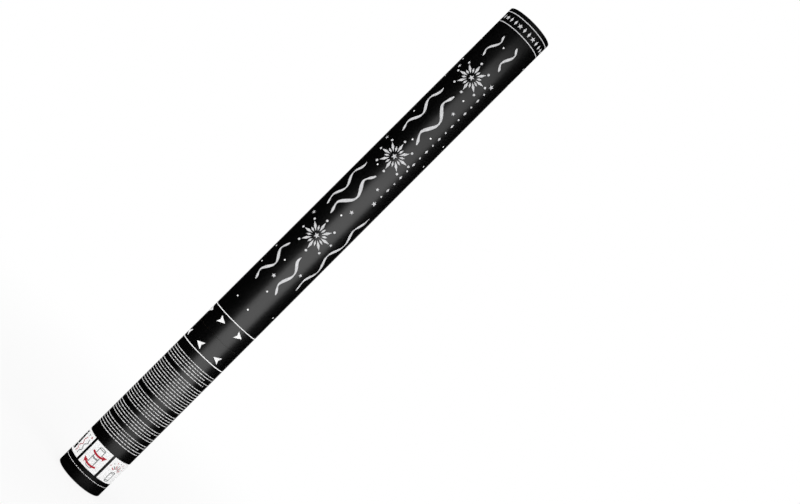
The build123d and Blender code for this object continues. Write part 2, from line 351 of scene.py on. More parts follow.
# %% Winding line
winding, given = effect("winding_line", {"Pitch mm": 90.0, "Line mm": 1.5}, "Line")
x, y, z = split(winding, object_place(winding))
turns = calc(winding, "DIVIDE", calc(winding, "ARCTAN2", x, y), 2 * math.pi)
rise = calc(winding, "DIVIDE", calc(winding, "MULTIPLY", z, 1000.0), given["Pitch mm"])
along = calc(winding, "FRACT", calc(winding, "ADD", turns, rise))
away = calc(winding, "ABSOLUTE", calc(winding, "SUBTRACT", along, 0.5))
away_mm = calc(winding, "MULTIPLY", away, given["Pitch mm"])
line = ranged(winding, away_mm, (0.0, given["Line mm"]), (1.0, 0.0), smooth=True)
put(winding, "NodeGroupOutput", {"Line": line})
print("effect", winding.name, "with nodes", len(winding.nodes))

# %% [markdown]
# ## Scuffed ends
# Hands and tables rub the film where it turns over an edge. A mask that is 1 at both ends and falls to 0
# within a millimetre gives the place, and a coarse noise breaks it up, because wear is never an even band.

# %% End scuff
scuff, given = effect("end_scuff", {"Low mm": 0.0, "High mm": 600.0, "Reach mm": 1.0}, "Mask")
place = object_place(scuff)
height = calc(scuff, "MULTIPLY", split(scuff, place)[2], 1000.0)
from_low = calc(scuff, "SUBTRACT", height, given["Low mm"])
from_high = calc(scuff, "SUBTRACT", given["High mm"], height)
nearest = calc(scuff, "MINIMUM", from_low, from_high)
close = calc(scuff, "SUBTRACT", 1.0, calc(scuff, "DIVIDE", nearest, given["Reach mm"]))
noise = flow(scuff, "ShaderNodeTexNoise", {"Vector": place, "Scale": 900.0, "Detail": 4.0})
torn = ranged(scuff, noise, (0.55, 0.78), (0.0, 1.0))
mask = flow(scuff, "ShaderNodeMath", {0: close, 1: torn}, operation="MULTIPLY", use_clamp=True)
put(scuff, "NodeGroupOutput", {"Mask": mask})
print("effect", scuff.name, "with nodes", len(scuff.nodes))

# %% [markdown]
# ## How every finish starts
# Each finish is a Principled shader. What is the same all over the surface, such as metallic or specular, is
# typed into the shader. What changes over the surface, such as colour, roughness and height, comes from nodes.
# These helpers start a material, place the shared effects and link the results.

# %% Finish helpers
def finish_start(name, roughness, metallic=0.0, specular=0.5):
    """A new material with its tree and its shader."""
    made = bpy.data.materials.new(name)
    made.use_nodes = True
    shader = made.node_tree.nodes["Principled BSDF"]
    shader.inputs["Roughness"].default_value = roughness
    shader.inputs["Metallic"].default_value = metallic
    shader.inputs["Specular IOR Level"].default_value = specular
    return made, made.node_tree, shader


def grained(tree, size_mm, low=0.0, high=1.0, stretch=1.0):
    """The shared grain at one size, between two values, drawn out along the tube by a stretch."""
    inputs = {"Size mm": size_mm, "Stretch": stretch, "Low": low, "High": high}
    return flow(tree, "ShaderNodeGroup", inputs, node_tree=grain)


def wound(tree, pitch_mm, line_mm):
    """The shared winding line."""
    return flow(tree, "ShaderNodeGroup", {"Pitch mm": pitch_mm, "Line mm": line_mm}, node_tree=winding)


def between(tree, share, first, second):
    """A colour between two, by a share from 0 to 1; each is a triple or another node's output."""
    first, second = (c if isinstance(c, bpy.types.NodeSocket) else (*c, 1) for c in (first, second))
    return put(tree, "ShaderNodeMix", {0: share, 6: first, 7: second}, data_type="RGBA").outputs[2]


def surface(tree, shader, colour, gloss, height=None, height_mm=0.0):
    """Feeds the shader its colour and its roughness, and a height as a bump."""
    tree.links.new(colour, shader.inputs["Base Color"])
    tree.links.new(gloss, shader.inputs["Roughness"])
    if height is not None:
        bump = flow(tree, "ShaderNodeBump", {"Height": height, "Distance": height_mm / 1000, "Strength": 1.0})
        tree.links.new(bump, shader.inputs["Normal"])


print("finish helpers ready")

# %% [markdown]
# ## The black film
# The film is laminated matt black, so the highlight is broad. Real film is never perfectly even: its tone and
# gloss drift a little, its surface has a fine tooth, the board's winding line shows through faintly, and the
# turned-in ends lose some black. A single black would look like a hole in the picture.

# %% Film finish
board_pitch_mm = 92.0


def film_finish(name, low_mm, high_mm):
    """The black ground of one film, scuffed at its two ends."""
    made, tree, shader = finish_start(name, 0.4, specular=0.7)
    drift = grained(tree, 55.0, stretch=3.0)
    tone = between(tree, drift, (0.0003, 0.0003, 0.00032), (0.0008, 0.0008, 0.00085))
    ends = {"Low mm": low_mm, "High mm": high_mm, "Reach mm": 0.9}
    rub = flow(tree, "ShaderNodeGroup", ends, node_tree=scuff)
    colour = between(tree, rub, tone, (0.014, 0.014, 0.014))
    sheen = grained(tree, 18.0, 0.33, 0.38, stretch=2.0)
    gloss = calc(tree, "ADD", sheen, calc(tree, "MULTIPLY", rub, 0.2))
    tooth = calc(tree, "MULTIPLY", grained(tree, 0.35), 0.12)
    surface(tree, shader, colour, gloss, calc(tree, "ADD", tooth, wound(tree, board_pitch_mm, 2.4)), 0.012)
    return made


handle_film_finish = film_finish("handle_film", 0.0, 184.3)
barrel_film_finish = film_finish("barrel_film", 184.7, 600.0)
print("film finishes", handle_film_finish.name, barrel_film_finish.name)

# %% [markdown]
# ## A lathe
# The film, the base plug and the muzzle lid are turned shapes. Blender has a Screw modifier for that, but a
# lathe written in a few lines closes the poles and the seam at once and needs nothing applied afterwards. An
# outline of radius and height goes round the axis, doubles are merged, and the normals are turned outwards.

# %% Lathe helper
mm = 0.001
sharp_angle = math.radians(35)


def soft_shading(mesh):
    """Smooth shading, with the sharp edges kept."""
    for face in mesh.polygons:
        face.use_smooth = True
    mesh.set_sharp_from_angle(angle=sharp_angle)


def turned(name, outline, steps=192):
    """Turns a closed outline of (radius, height) in millimetres round the tube's axis."""
    shape = bmesh.new()
    columns = []
    for step in range(steps):
        sine, cosine = math.sin(2 * math.pi * step / steps), math.cos(2 * math.pi * step / steps)
        columns.append([shape.verts.new((r * mm * sine, -r * mm * cosine, h * mm)) for r, h in outline])
    for step in range(steps):
        here, there = columns[step], columns[(step + 1) % steps]
        for i in range(len(outline)):
            j = (i + 1) % len(outline)
            if outline[i][0] > 0 or outline[j][0] > 0:
                shape.faces.new((here[i], there[i], there[j], here[j]))
    bmesh.ops.remove_doubles(shape, verts=shape.verts, dist=1e-7)
    bmesh.ops.recalc_face_normals(shape, faces=shape.faces)
    mesh = bpy.data.meshes.new(name)
    shape.to_mesh(mesh)
    shape.free()
    soft_shading(mesh)
    return add_object(name, mesh)


def arc(x, y, radius_x, radius_y, start, stop, parts):
    """Points of an arc, from one angle to another in degrees."""
    angles = [math.radians(start + (stop - start) * i / parts) for i in range(parts + 1)]
    return [(x + radius_x * math.cos(a), y + radius_y * math.sin(a)) for a in angles]


print("lathe ready, edges sharper than", round(math.degrees(sharp_angle)), "degrees stay sharp")

# %% [markdown]
# ## The film pieces
# Each film runs straight along its tube from the cut at the twist line and is rolled over the rounded rim at
# the other end. The CAD boxes give the heights and the outer radius. The film lies 0.04 mm inside that
# radius, which leaves room for the ink. The cut between the two films is opened to 0.14 mm, so that it shows as
# a fine dark line.

# %% Film pieces
handle_low, handle_high = (corner.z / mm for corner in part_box("handle_wrap"))
barrel_low, barrel_high = (corner.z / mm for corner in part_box("barrel_wrap"))
outer_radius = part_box("barrel_wrap")[1].x / mm
ink_room, film_sheet, rim_fold, rim_round, twist_gap = 0.04, 0.11, 2.35, 0.5, 0.14
film_radius, rim_inner, rim_centre = outer_radius - ink_room, outer_radius - rim_fold, outer_radius - rim_round
film_back = film_radius - film_sheet
twist_line = (handle_high + barrel_low) / 2
handle_high, barrel_low = twist_line - twist_gap / 2, twist_line + twist_gap / 2


def film_outline(cut, rim):
    """From the cut along the outside, round the rim, and back along the inside."""
    way = 1 if rim > cut else -1
    centre = rim - way * rim_round
    outside = arc(rim_centre, centre, film_radius - rim_centre, rim_round, 0, way * 90, 8)
    inside = arc(rim_centre, centre, film_back - rim_centre, rim_round - film_sheet, way * 90, 0, 8)
    fold = [(rim_inner, rim), (rim_inner, rim - way * film_sheet)]
    return [(film_back, cut), (film_radius, cut)] + outside + fold + inside


handle_film = turned("handle_film", film_outline(handle_high, handle_low))
barrel_film = turned("barrel_film", film_outline(barrel_low, barrel_high))
for piece, body, node, finish in (
    (handle_film, "handle", "handle_wrap", handle_film_finish),
    (barrel_film, "barrel", "barrel_wrap", barrel_film_finish),
):
    piece.data.materials.append(finish)
    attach(piece, body)
    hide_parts(node)
print("film heights", [round(v, 2) for v in (handle_low, handle_high, barrel_low, barrel_high)])

# %% [markdown]
# ## The inks
# White, silver, grey and red ink sit on the film as thin flat layers. Screen ink is slightly uneven: its
# thickness makes small cloudy changes of tone, and its gloss varies at a finer scale. Painting the print into
# the film's material would need an image; as thin pieces, the marks stay sharp at any distance.

# %% Ink finishes
def ink_finish(name, dark, light, roughness):
    """One ink, cloudy between two colours."""
    made, tree, shader = finish_start(name, roughness, specular=0.3)
    cloud = between(tree, grained(tree, 2.2), dark, light)
    surface(tree, shader, cloud, grained(tree, 0.5, roughness - 0.06, roughness + 0.06))
    return made


white_ink = ink_finish("white_ink", (0.86, 0.86, 0.86), (0.93, 0.93, 0.93), 0.5)
silver_ink = ink_finish("silver_ink", (0.52, 0.52, 0.53), (0.66, 0.66, 0.67), 0.42)
row_ink = ink_finish("row_ink", (0.60, 0.60, 0.60), (0.76, 0.76, 0.76), 0.5)
grey_ink = ink_finish("grey_ink", (0.10, 0.11, 0.11), (0.16, 0.17, 0.17), 0.5)
red_ink = ink_finish("red_ink", (0.36, 0.006, 0.018), (0.47, 0.010, 0.028), 0.5)
inks = [white_ink, silver_ink, row_ink, grey_ink, red_ink, handle_film_finish, barrel_film_finish]
WHITE, SILVER, ROW, GREY, RED, HANDLE_FILM, BARREL_FILM = range(len(inks))
print("inks", [ink.name for ink in inks])

# %% [markdown]
# ## Printing flat, then wrapping
# A label is drawn flat and wrapped round the tube, and so is this one. Every mark is one point on the flat
# sheet: across is the distance round the tube from the front, up is the height, both in millimetres. A
# Geometry Nodes tree puts a small closed plate on each point, sized and turned by the point's own values,
# then wraps the whole sheet. Modelling each mark on the round tube by hand would take far longer.

# %% A tree and its named inputs
def new_tree(name, floats=(), ints=(), materials=()):
    """An empty Geometry Nodes tree, and the outputs of its input node."""
    made = bpy.data.node_groups.new(name, "GeometryNodeTree")
    made.interface.new_socket("Geometry", in_out="INPUT", socket_type="NodeSocketGeometry")
    for kind, labels in (("Float", floats), ("Int", ints), ("Material", materials)):
        for label in labels:
            made.interface.new_socket(label, in_out="INPUT", socket_type="NodeSocket" + kind)
    made.interface.new_socket("Geometry", in_out="OUTPUT", socket_type="NodeSocketGeometry")
    return made, put(made, "NodeGroupInput").outputs


marks_tree, given = new_tree("print_marks", ["Tube Radius"], materials=[ink.name for ink in inks])
print("tree", marks_tree.name, "with", len(marks_tree.interface.items_tree), "sockets")

# %% [markdown]
# ## The plates
# A plate is a unit shape, 1 by 1 and 1 thick, which each point scales to its own size. It has to bend with the
# tube: a flat face of width w sinks by w x w / 8R at its middle and would vanish into the film, so broad shapes
# are cut into many columns, and small ones into few.

# %% Bars and lozenges
def plate_bar(tree, columns, rows=2):
    """A flat unit bar, standing on the sheet, cut into columns and rows so that it can bend."""
    cuts = {"Size": (1, 1, 1), "Vertices X": columns + 1, "Vertices Y": rows + 1}
    cube = flow(tree, "GeometryNodeMeshCube", cuts)
    return flow(tree, "GeometryNodeTransform", {0: cube, "Translation": (0, 0, 0.5)})


def moved(tree, mesh, place):
    """A mesh with its points at new places."""
    return flow(tree, "GeometryNodeSetPosition", {0: mesh, "Position": place})


def merged(tree, mesh):
    """A mesh with its doubled points made one."""
    return flow(tree, "GeometryNodeMergeByDistance", {0: mesh, "Distance": 1e-4})


def here_in(tree):
    """The three parts of each point's place."""
    return split(tree, flow(tree, "GeometryNodeInputPosition"))


def plate_lozenge(tree, columns):
    """A unit bar whose width runs out towards both ends."""
    x, y, z = here_in(tree)
    taper = calc(tree, "SUBTRACT", 1.0, calc(tree, "MULTIPLY", calc(tree, "ABSOLUTE", x), 2.0))
    narrowed = joined(tree, x, calc(tree, "MULTIPLY", y, taper), z)
    return merged(tree, moved(tree, plate_bar(tree, columns), narrowed))


BAR, PANEL, RING, STAR, DOT, DART, LOZENGE = range(7)
shapes = {
    BAR: plate_bar(marks_tree, 4),
    PANEL: plate_bar(marks_tree, 56, rows=8),
    RING: plate_bar(marks_tree, 240),
    LOZENGE: plate_lozenge(marks_tree, 8),
}
print("bar-like shapes", len(shapes))

# %% [markdown]
# ## Stars, dots and darts
# These start as a closed curve, which is filled, cut finer and raised. Raising leaves the underside open, so
# the filled face is joined again below, upside down, and the doubled points are merged: every plate is a
# closed body.

# %% Outlined shapes
def plate_outline(tree, curve, cuts):
    """A closed outline made a flat unit plate: filled, cut finer, raised, and closed below."""
    filled = flow(tree, "GeometryNodeFillCurve", {0: curve})
    fine = flow(tree, "GeometryNodeSubdivideMesh", {0: filled, "Level": cuts})
    raised = flow(tree, "GeometryNodeExtrudeMesh", {0: fine, "Offset": (0, 0, 1.0), "Individual": False})
    both_sides = put(tree, "GeometryNodeJoinGeometry")
    tree.links.new(raised, both_sides.inputs[0])
    tree.links.new(flow(tree, "GeometryNodeFlipFaces", {0: fine}), both_sides.inputs[0])
    return merged(tree, both_sides.outputs[0])


star = flow(marks_tree, "GeometryNodeCurveStar", {"Points": 5, "Inner Radius": 0.21, "Outer Radius": 0.5})
circle = flow(marks_tree, "GeometryNodeCurvePrimitiveCircle", {"Resolution": 14, "Radius": 0.5})
dart_corners = {"Point 1": (0.5, 0, 0), "Point 2": (-0.5, 0.5, 0),
                "Point 3": (-0.28, 0, 0), "Point 4": (-0.5, -0.5, 0)}
dart = flow(marks_tree, "GeometryNodeCurvePrimitiveQuadrilateral", dart_corners, mode="POINTS")
shapes[STAR] = plate_outline(marks_tree, star, 2)
shapes[DOT] = plate_outline(marks_tree, circle, 1)
shapes[DART] = plate_outline(marks_tree, dart, 3)
print("all shapes", len(shapes))

# %% [markdown]
# ## Placing the plates
# Instance on Points copies a plate to every point whose kind asks for it. The points carry their kind, size,
# turn and ink as named attributes, so the list of marks is the only thing that changes from print to print.

# %% Tree that places the marks
def point_value(tree, name, kind):
    """A value that the points carry."""
    return put(tree, "GeometryNodeInputNamedAttribute", {"Name": name}, data_type=kind).outputs["Attribute"]


def equals(tree, value, number):
    """True where a whole number has one value."""
    return flow(tree, "FunctionNodeCompare", {2: value, 3: number}, data_type="INT", operation="EQUAL")


size = point_value(marks_tree, "size", "FLOAT_VECTOR")
turned_by = joined(marks_tree, z=point_value(marks_tree, "turn", "FLOAT"))
kind_of, ink_of = (point_value(marks_tree, name, "INT") for name in ("kind", "ink"))
sheet = put(marks_tree, "GeometryNodeJoinGeometry")
for kind in sorted(shapes):
    copies = flow(marks_tree, "GeometryNodeInstanceOnPoints", {
        "Points": given["Geometry"], "Selection": equals(marks_tree, kind_of, kind),
        "Instance": shapes[kind], "Rotation": turned_by, "Scale": size})
    marks_tree.links.new(copies, sheet.inputs[0])
print("nodes that place marks", len(marks_tree.nodes))

# %% [markdown]
# ## Wrapping the sheet
# Wrapping is plain geometry: the distance across, divided by the radius, is the angle round the tube; up stays
# the height; and the thickness adds to the radius. A Curve or Simple Deform modifier could bend the sheet too,
# but this keeps every distance exact. After it, each mark gets the ink that its point names.

# %% Wrap and ink
def wrap(tree, flat, radius):
    """Bends a flat sheet round the tube."""
    across, up, thick = here_in(tree)
    angle = calc(tree, "DIVIDE", across, radius)
    reach = calc(tree, "ADD", radius, thick)
    forward = calc(tree, "MULTIPLY", reach, calc(tree, "COSINE", angle))
    sideways = calc(tree, "MULTIPLY", reach, calc(tree, "SINE", angle))
    return moved(tree, flat, joined(tree, sideways, calc(tree, "MULTIPLY", forward, -1.0), up))


whole = flow(marks_tree, "GeometryNodeRealizeInstances", {0: sheet.outputs[0]})
printed = wrap(marks_tree, whole, given["Tube Radius"])
for number, ink in enumerate(inks):
    choice = {"Selection": equals(marks_tree, ink_of, number), "Material": given[ink.name]}
    printed = flow(marks_tree, "GeometryNodeSetMaterial", {0: printed, **choice})
put(marks_tree, "NodeGroupOutput", {0: printed})
print("nodes in all", len(marks_tree.nodes))

# %% [markdown]
# ## From tree to plain mesh
# A tree lives in a modifier. Its named inputs are filled through the sockets' identifiers before the object is
# first evaluated. Then the result is copied into a plain mesh and the source goes, so that what rides on the
# frame has no modifier left. The values that only the tree needed are removed from the mesh.

# %% Grow a piece
point_names = ("kind", "size", "turn", "ink")


def grow(name, data, tree, inputs):
    """Runs a tree on a mesh or curve and returns the result as a plain piece."""
    source = add_object(name + "_source", data)
    modifier = source.modifiers.new("grow", "NODES")
    modifier.node_group = tree
    for item in tree.interface.items_tree:
        if item.item_type == "SOCKET" and item.in_out == "INPUT" and item.name in inputs:
            modifier[item.identifier] = inputs[item.name]
    graph = bpy.context.evaluated_depsgraph_get()
    mesh = bpy.data.meshes.new_from_object(source.evaluated_get(graph), depsgraph=graph)
    bpy.data.objects.remove(source)
    for spare in [a.name for a in mesh.attributes if a.name in point_names]:
        mesh.attributes.remove(mesh.attributes[spare])
    mesh.name = name
    soft_shading(mesh)
    return add_object(name, mesh)


print("values on the points", point_names)

# %% [markdown]
# ## Marks
# Ink lies in layers: the lap of the film lowest, then the first ink, then the drawings on the white panels.
# Each layer starts a little above the one below it, because two faces in one plane would flicker. All of it
# stays within the 0.04 mm between the film and the outer radius.

# %% Marks and their layers
lap_low, lap_top, ink_low, ink_top = 0.001, 0.008, 0.018, 0.027
over_low, grey_top, over_top = 0.028, 0.034, 0.039
round_mm = 2 * math.pi * film_radius
Mark = namedtuple("Mark", "kind across up wide tall ink turn low high")


def mark(kind, across, up, wide, tall, ink, turn=0.0, low=ink_low, high=ink_top):
    """One printed mark; sizes in millimetres, the turn in degrees."""
    return Mark(kind, across, up, wide, tall, ink, math.radians(turn), low, high)


def print_marks(name, marks):
    """Prints a list of marks and returns them as one wrapped piece."""
    mesh = bpy.data.meshes.new(name + "_points")
    mesh.from_pydata([(m.across * mm, m.up * mm, m.low * mm) for m in marks], [], [])
    for label, kind in (("kind", "INT"), ("ink", "INT"), ("turn", "FLOAT")):
        values = [getattr(m, label) for m in marks]
        mesh.attributes.new(label, kind, "POINT").data.foreach_set("value", values)
    sizes = [v * mm for m in marks for v in (m.wide, m.tall, m.high - m.low)]
    mesh.attributes.new("size", "FLOAT_VECTOR", "POINT").data.foreach_set("vector", sizes)
    return grow(name, mesh, marks_tree, {"Tube Radius": film_radius * mm, **{ink.name: ink for ink in inks}})


print("unrolled width in mm", round(round_mm, 2))

# %% [markdown]
# ## The lap and the rows on the handle
# At the back, the film's end lies over its start as a narrow step. Above the panels run blocks of thin broken
# lines. Typing hundreds of dashes by hand is out of the question, and equal ones would look mechanical, so
# a seeded random choice gives their lengths: the rows look lively and are the same each time the script runs.

# %% Lap and rows
lap_wide = 9.0
chance = random.Random(41)


def lap(cut, rim, ink):
    """The step at the back, from the cut to just short of the rim's round."""
    way = 1 if rim > cut else -1
    middle, tall = (cut + rim - way * rim_round) / 2, abs(rim - cut) - 2 * rim_round
    return mark(PANEL, round_mm / 2, middle, lap_wide, tall, ink, low=lap_low, high=lap_top)


def dashes(start, stop, up, tall, short, long, gap, ink):
    """A row of dashes of uneven length between two places round the tube."""
    made, here = [], start
    while here < stop - short:
        length = min(chance.uniform(short, long), stop - here)
        made.append(mark(BAR, here + length / 2, up, length, tall, ink))
        here += length + gap * chance.uniform(0.8, 1.5)
    return made


handle_marks = [lap(handle_high, handle_low, HANDLE_FILM)]
row_pitch, row_tall, row_gap = 2.85, 0.72, 0.62
row_columns = ((-69.0, 36.0), (41.0, 71.0))
for first_up, count in ((53.0, 5), (70.2, 5), (87.4, 6), (107.6, 11), (141.7, 5)):
    for row in range(count):
        ragged = 14 if row in (0, count // 2) else 4
        for start, stop in row_columns:
            stop -= chance.uniform(0, ragged)
            handle_marks += dashes(start, stop, first_up + row * row_pitch, row_tall, 1.0, 4.6, row_gap, ROW)
handle_marks += dashes(-70.0, 70.0, 11.2, 0.5, 0.4, 2.2, 0.75, WHITE)
print("lap and dashes", len(handle_marks))

# %% [markdown]
# ## Panels, ring and arrows on the handle
# Below the rows stand white panels, three of one width and a broad one on the right, which carries two
# drawings. A white ring closes the rows, and above it arrows point the way in which the handle is held back
# while the barrel turns. The arrows are as far apart as the photograph shows on the front, and wider on the
# back.

# %% Panels, ring and arrows
panel_wide, panel_tall, panel_mid = 21.4, 25.5, 28.75
panel_low, panel_high = panel_mid - panel_tall / 2, panel_mid + panel_tall / 2
panel_pitch = math.radians(55.4) * film_radius
panel_places = [math.radians(-4.8) * film_radius + panel_pitch * k for k in range(-2, 3)]
for across in panel_places[:3]:
    handle_marks.append(mark(PANEL, across, panel_mid, panel_wide, panel_tall, WHITE))
broad_mid = (panel_places[3] + panel_places[4]) / 2
handle_marks.append(mark(PANEL, broad_mid, panel_mid, panel_pitch + panel_wide, panel_tall, WHITE))

lower_ring, upper_ring, ring_tall = 163.1, 206.0, 0.8
arrow_turns = (-72.4, -21.0, 30.4, 94.7, 159.0, 223.3)


def ring(up, ink):
    """A line right round the tube, but for a hair at the back."""
    return mark(RING, 0, up, round_mm - 0.05, ring_tall, ink)


def arrow(turn, up, way):
    """An arrow at a turn round the tube, pointing right for a way of 0 and left for 180."""
    return mark(DART, math.radians(turn) * film_radius, up, 8.0, 7.7, WHITE, way)


handle_marks.append(ring(lower_ring, WHITE))
handle_marks += [arrow(turn, 169.7, 180) for turn in arrow_turns]
print("handle marks", len(handle_marks))

# %% [markdown]
# ## Lines
# The drawings on the panels, and later the streamers on the barrel, are lines rather than plates. They start
# as flat curves. A second tree cuts each curve into even steps, sweeps a square bar along it as wide as the
# curve's radius says, flattens the bar to the ink's thickness and wraps it like the marks.

# %% Tree that prints the lines
def put_out(tree, mesh, material):
    """Ends a tree: copies become a real mesh, which gets its material and leaves."""
    whole = flow(tree, "GeometryNodeRealizeInstances", {0: mesh})
    put(tree, "NodeGroupOutput", {0: flow(tree, "GeometryNodeSetMaterial", {0: whole, "Material": material})})


lines_tree, given = new_tree("print_lines", ["Tube Radius", "Step", "Low", "High"], materials=["Ink"])
evenly = {"Curve": given["Geometry"], "Length": given["Step"]}
even = flow(lines_tree, "GeometryNodeResampleCurve", evenly, mode="LENGTH")
flat_way = flow(lines_tree, "GeometryNodeSetCurveNormal", {"Curve": even}, mode="Z_UP")
square = flow(lines_tree, "GeometryNodeCurvePrimitiveQuadrilateral", {"Width": 1.0, "Height": 1.0})
square = flow(lines_tree, "GeometryNodeSubdivideCurve", {"Curve": square, "Cuts": 2})
swept = flow(lines_tree, "GeometryNodeCurveToMesh", {
    "Curve": flat_way, "Profile Curve": square, "Fill Caps": True,
    "Scale": flow(lines_tree, "GeometryNodeInputRadius")})
x, y, z = here_in(lines_tree)
side_of_sheet = 1e-5
thin = ranged(lines_tree, z, (-side_of_sheet, side_of_sheet), (given["Low"], given["High"]))
bent = wrap(lines_tree, moved(lines_tree, swept, joined(lines_tree, x, y, thin)), given["Tube Radius"])
put_out(lines_tree, bent, given["Ink"])
print("nodes that print lines", len(lines_tree.nodes))

# %% [markdown]
# ## Drawing with lines
# A printer's artist draws freehand; here a line is a list of points with a width at each. Bezier handles could
# shape it too, but points from a sine or a circle are exact and take one line of code. A wave starts and ends
# gently, as a real streamer does.

# %% Printing lines
line_step = 0.9


def print_lines(name, lines, ink, low=ink_low, high=ink_top):
    """Prints curves, each a list of (across, up, width) in millimetres, as one wrapped piece."""
    curves = bpy.data.curves.new(name + "_curves", "CURVE")
    curves.dimensions = "3D"
    for line in lines:
        spline = curves.splines.new("POLY")
        spline.points.add(len(line) - 1)
        for point, (across, up, wide) in zip(spline.points, line):
            point.co = (across * mm, up * mm, 0, 1)
            point.radius = wide * mm
    sizes = {"Tube Radius": film_radius, "Step": line_step, "Low": low, "High": high}
    return grow(name, curves, lines_tree, {"Ink": ink, **{label: v * mm for label, v in sizes.items()}})


def stroke(points, wide):
    """A line of one width through some points."""
    return [(x, y, wide) for x, y in points]


def wave(x0, y0, x1, y1, swing, waves):
    """A wavy line from one point to another, whose swing grows at the start and dies away at the end."""
    count = int(waves * 18)
    dx, dy = x1 - x0, y1 - y0
    length = math.hypot(dx, dy)
    made = []
    for i in range(count + 1):
        t = i / count
        side = swing * math.sin(2 * math.pi * waves * t) * min(1.0, 4 * t + 0.15, 4 * (1 - t) + 0.15)
        made.append((x0 + dx * t - dy / length * side, y0 + dy * t + dx / length * side))
    return made


def around(x, y, reach, angle):
    """The place at a distance from another, in a direction."""
    return x + reach * math.cos(angle), y + reach * math.sin(angle)


print("lines are cut into steps of mm", line_step)

# %% [markdown]
# ## Little drawings on the panels
# Each white panel carries a small drawing of what the tube does: an outlined tube with two curved arrows for
# the twist, a tube with a burst above it, and a leaning black tube beside two streamers. They are drawn with a
# few strokes each, in grey and red. An arrow's head goes on beyond the end of its curve, along the last
# stretch, so that it always follows the curve.

# %% Drawing of the twist
grey_lines, red_lines, panel_marks = [], [], []


def over(kind, place, wide, tall, ink, turn=0.0):
    """A mark in the upper layer, on a panel."""
    return mark(kind, *place, wide, tall, ink, turn, over_low, over_top)


def twist_drawing(across):
    """A tube in outline, parted at the middle, with a curved arrow round each half."""
    half, low, high = 3.2, panel_low + 3, panel_high - 3
    for side in (-half, half):
        grey_lines.append(stroke([(across + side, low), (across + side, high)], 0.75))
    for up, stop in ((low, 360), (panel_mid - 0.4, 360), (panel_mid + 0.4, 360), (high, 540)):
        grey_lines.append(stroke(arc(across, up, half, 0.9, 180, stop, (stop - 180) // 18), 0.65))
    for up, start, stop in ((panel_mid + 5.0, 195, 335), (panel_mid - 6.2, 345, 205)):
        curve = arc(across, up, 6.4, 2.4, start, stop, 24)
        (x0, y0), (x1, y1) = curve[-2:]
        way = math.atan2(y1 - y0, x1 - x0)
        red_lines.append(stroke(curve, 1.9))
        panel_marks.append(over(DART, around(x1, y1, 1.1, way), 5.0, 5.0, RED, math.degrees(way)))


print("drawing of the twist ready")

# %% [markdown]
# ## The other two drawings
# The burst is a fan of rays, so a loop turns one ray a step at a time; the streamers are two waves. The black
# tube beside them is three plates in the film's own finish, laid on the white panel: a hole in the panel would
# look the same and be harder to cut.

# %% Drawings of the burst and the streamers
def burst_drawing(across):
    """A short tube, with rays and dots in turn red and grey above it."""
    half, low, high, heart = 2.6, panel_low + 2.4, panel_mid - 1, panel_mid + 0.4
    for side in (-half, half):
        grey_lines.append(stroke([(across + side, low), (across + side, high)], 0.8))
    for up in (low, high):
        grey_lines.append(stroke(arc(across, up, half, 0.8, 0, 360, 16), 0.7))
    for ray in range(-3, 4):
        angle = math.radians(90 + 22 * ray)
        lines, wide, ink = (red_lines, 1.0, RED) if ray % 2 else (grey_lines, 0.8, GREY)
        ends = [around(across, heart, reach, angle) for reach in (3.0, 7.4 - abs(ray) * 0.3)]
        lines.append(stroke(ends, wide))
        panel_marks.append(over(DOT, around(across, heart, 9.6, angle), 1.1, 1.1, ink))


def streamer_drawing(across):
    """A leaning black tube, parted by two gaps as by rings, and two streamers with a star above each."""
    lean = math.radians(8.5)
    for along, long in ((-7.4, 5.8), (1.95, 11.7), (9.35, 1.9)):
        place = around(across - 4.9, panel_mid, along, math.pi / 2 + lean)
        panel_marks.append(over(PANEL, place, 4.8, long, HANDLE_FILM, math.degrees(lean)))
    for side, swing, lines, tip_ink in ((1.9, -1.6, red_lines, GREY), (6.6, 1.4, grey_lines, RED)):
        tip = across + side * 1.1
        lines.append(stroke(wave(across + side, panel_low + 3, tip, panel_high - 6, swing, 2.2), 0.95))
        panel_marks.append(over(STAR, (tip, panel_high - 3.6), 3.0, 3.0, tip_ink, 18))


drawings = (burst_drawing, streamer_drawing, twist_drawing)
for k, across in enumerate(panel_places):
    drawings[k % 3](across)
print("grey lines", len(grey_lines), "red lines", len(red_lines), "marks", len(panel_marks))

# %% [markdown]
# ## Printing the handle
# All marks of the handle become one piece, and the lines one piece for each ink, because the lines' tree sets a
# single material. They ride on the handle, so they stay on it when the barrel turns.

# %% Print the handle
handle_print = print_marks("handle_print", handle_marks + panel_marks)
panel_grey = print_lines("panel_grey_lines", grey_lines, grey_ink, over_low, grey_top)
panel_red = print_lines("panel_red_lines", red_lines, red_ink, over_low, over_top)
for piece in (handle_print, panel_grey, panel_red):
    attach(piece, "handle")
print("handle print faces", [len(p.data.polygons) for p in (handle_print, panel_grey, panel_red)])

# %% [markdown]
# ## The barrel's rings, arrows and chain
# Just above the twist line runs the second row of arrows, pointing the other way, and a white ring. Two silver
# lines with a chain of stars and lozenges between them close the print below the muzzle. The chain is spaced by
# the unrolled width, so it meets itself at the back.

# %% Arrows, rings and chain
barrel_marks = [lap(barrel_low, barrel_high, BARREL_FILM)]
barrel_marks += [arrow(turn - 0.2, 198.8, 0) for turn in arrow_turns]
barrel_marks += [ring(up, ink) for up, ink in ((upper_ring, WHITE), (582.85, SILVER), (595.4, SILVER))]
chain_count = 27
for k in range(chain_count):
    across = round_mm * (k - chain_count / 2 + 0.35) / chain_count
    if k % 3:
        barrel_marks.append(mark(LOZENGE, across, 588.8, 5.7, 2.6, SILVER, 90))
    else:
        barrel_marks.append(mark(STAR, across, 588.7, 5.6, 5.6, SILVER, 18))
print("barrel marks so far", len(barrel_marks))

